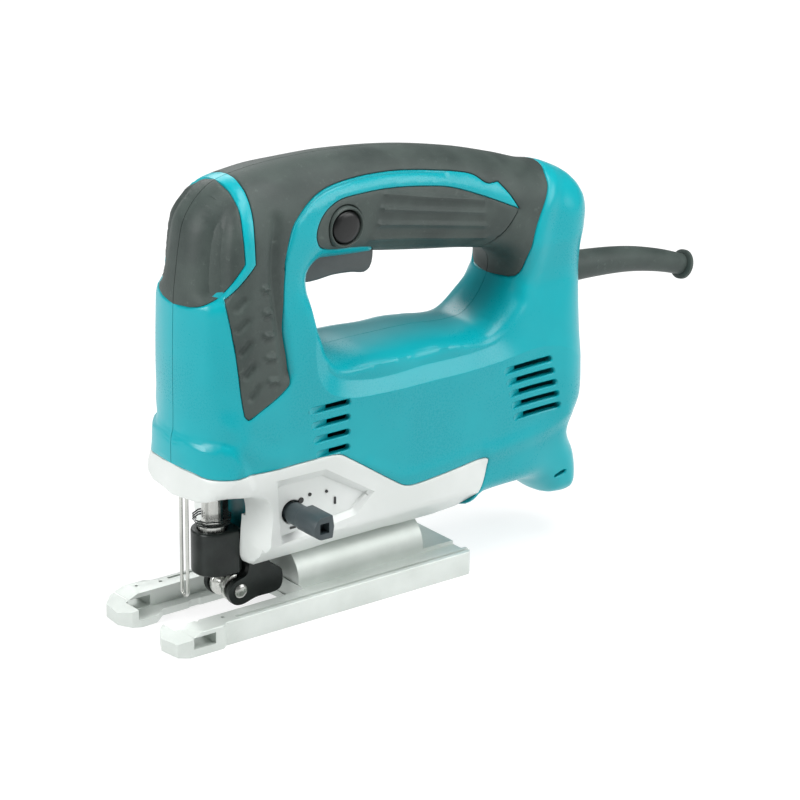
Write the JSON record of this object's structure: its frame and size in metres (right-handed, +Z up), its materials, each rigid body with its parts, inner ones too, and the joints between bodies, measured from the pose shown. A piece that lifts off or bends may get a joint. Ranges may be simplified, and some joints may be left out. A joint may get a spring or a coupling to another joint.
{
  "type": "jigsaw power tool",
  "caption": "Corded top-handle orbital jigsaw with a bow handle, tilting cast base, keyless blade clamp and guide roller.",
  "frame": {"origin": "on the sole plane, at the middle of the base plate's length and width", "axes": "+X towards the blade end, +Y to the tool's left, +Z up out of the workpiece"},
  "size_m": [0.3078, 0.0814, 0.2026],
  "materials": {
    "teal_plastic": "moulded, satin to semi-gloss",
    "grip_elastomer": "matte overmoulded elastomer",
    "silver_paint": "silver-white lacquered casting",
    "cast_aluminium": "blasted casting",
    "black_plastic": "matte",
    "slate_plastic": "matte",
    "black_steel": "black oxide",
    "steel": "ground",
    "spring_steel": "drawn wire",
    "carbon": "pressed carbon",
    "copper": null,
    "brass": "turned"
  },
  "bodies": {
    "housing": {"housing_left": "teal_plastic", "housing_right": "teal_plastic", "nose_cap_left": "grip_elastomer", "nose_cap_right": "grip_elastomer", "grip_left": "grip_elastomer", "grip_right": "grip_elastomer", "palm_insert_left": "grip_elastomer", "palm_insert_right": "grip_elastomer", "gear_housing": "silver_paint", "housing_screw_1": "steel", "housing_screw_2": "steel", "housing_screw_3": "steel", "housing_screw_4": "steel", "housing_screw_5": "steel", "housing_screw_6": "steel", "lock_button_ring": "black_plastic", "lock_button_spring": "spring_steel", "trigger_spring": "spring_steel", "switch_body": "black_plastic", "speed_control": "black_plastic", "cord_guard": "grip_elastomer", "cord_clamp": "black_plastic", "field_core": "steel", "field_coil_upper": "copper", "field_coil_lower": "copper", "front_bearing": "steel", "rear_bearing": "steel", "carbon_brush_left": "carbon", "carbon_brush_right": "carbon", "brush_holder_left": "brass", "brush_holder_right": "brass", "gear_bearing_plate": "cast_aluminium", "gear_pin": "steel", "lower_bush": "brass", "upper_bush": "brass", "dust_guide": "teal_plastic", "fork_pivot_pin": "steel", "guard_wire": "steel", "orbital_push_link": "steel"},
    "base": {"base_plate": "cast_aluminium"},
    "base_screw": {"base_screw": "steel"},
    "plunger": {"plunger": "steel", "blade_clamp_body": "steel", "clamp_spring": "spring_steel"},
    "clamp_sleeve": {"blade_clamp_sleeve": "black_plastic"},
    "fork": {"retainer_fork": "black_steel", "roller_pin": "steel"},
    "roller": {"guide_roller": "steel"},
    "lever": {"orbital_lever": "slate_plastic"},
    "trigger": {"trigger": "black_plastic"},
    "lock_button": {"lock_button": "black_plastic"},
    "armature": {"armature_shaft": "steel", "armature_core": "steel", "commutator": "copper", "cooling_fan": "black_plastic"},
    "gear": {"drive_gear": "steel"}
  },
  "joints": [
    {"name": "base_tilt", "type": "hinge", "parent": "housing", "child": "base", "pos_m": [0, 0, 0.012], "axis": [1, 0, 0], "range_deg": [-45, 45]},
    {"name": "base_screw_turn", "type": "hinge", "parent": "base", "child": "base_screw", "pos_m": [-0.022, 0, 0.01], "axis": [0, 0, 1], "range_deg": [0, 360]},
    {"name": "plunger_stroke", "type": "slide", "parent": "housing", "child": "plunger", "axis": [0, 0, 1], "range_m": [0, 0.023]},
    {"name": "clamp_release", "type": "hinge", "parent": "plunger", "child": "clamp_sleeve", "pos_m": [0.044, 0, 0.032], "axis": [0, 0, 1], "range_deg": [0, 30], "stiffness_Nm_per_rad": 0.05},
    {"name": "fork_swing", "type": "hinge", "parent": "housing", "child": "fork", "pos_m": [0.025, 0, 0.042], "axis": [0, 1, 0], "range_deg": [0, 5]},
    {"name": "roller_spin", "type": "hinge", "parent": "fork", "child": "roller", "pos_m": [0.036, 0, 0.0136], "axis": [0, 1, 0], "continuous": true},
    {"name": "lever_turn", "type": "hinge", "parent": "housing", "child": "lever", "pos_m": [0.0205, 0.03, 0.0525], "axis": [0, 1, 0], "range_deg": [0, 90]},
    {"name": "trigger_press", "type": "slide", "parent": "housing", "child": "trigger", "axis": [0, 0, 1], "range_m": [0, 0.005], "stiffness_N_per_m": 600, "springref_m": -0.004, "deforming": ["trigger_spring"]},
    {"name": "lock_press", "type": "slide", "parent": "housing", "child": "lock_button", "axis": [0, -1, 0], "range_m": [0, 0.003], "stiffness_N_per_m": 300, "springref_m": -0.003},
    {"name": "armature_spin", "type": "hinge", "parent": "housing", "child": "armature", "pos_m": [-0.05, 0, 0.075], "axis": [1, 0, 0], "continuous": true},
    {"name": "gear_spin", "type": "hinge", "parent": "housing", "child": "gear", "pos_m": [0.025, 0, 0.105], "axis": [1, 0, 0], "continuous": true}
  ],
  "couplings": [
    {"joint": "gear_spin", "follows": "armature_spin", "ratio": -0.25}
  ]
}
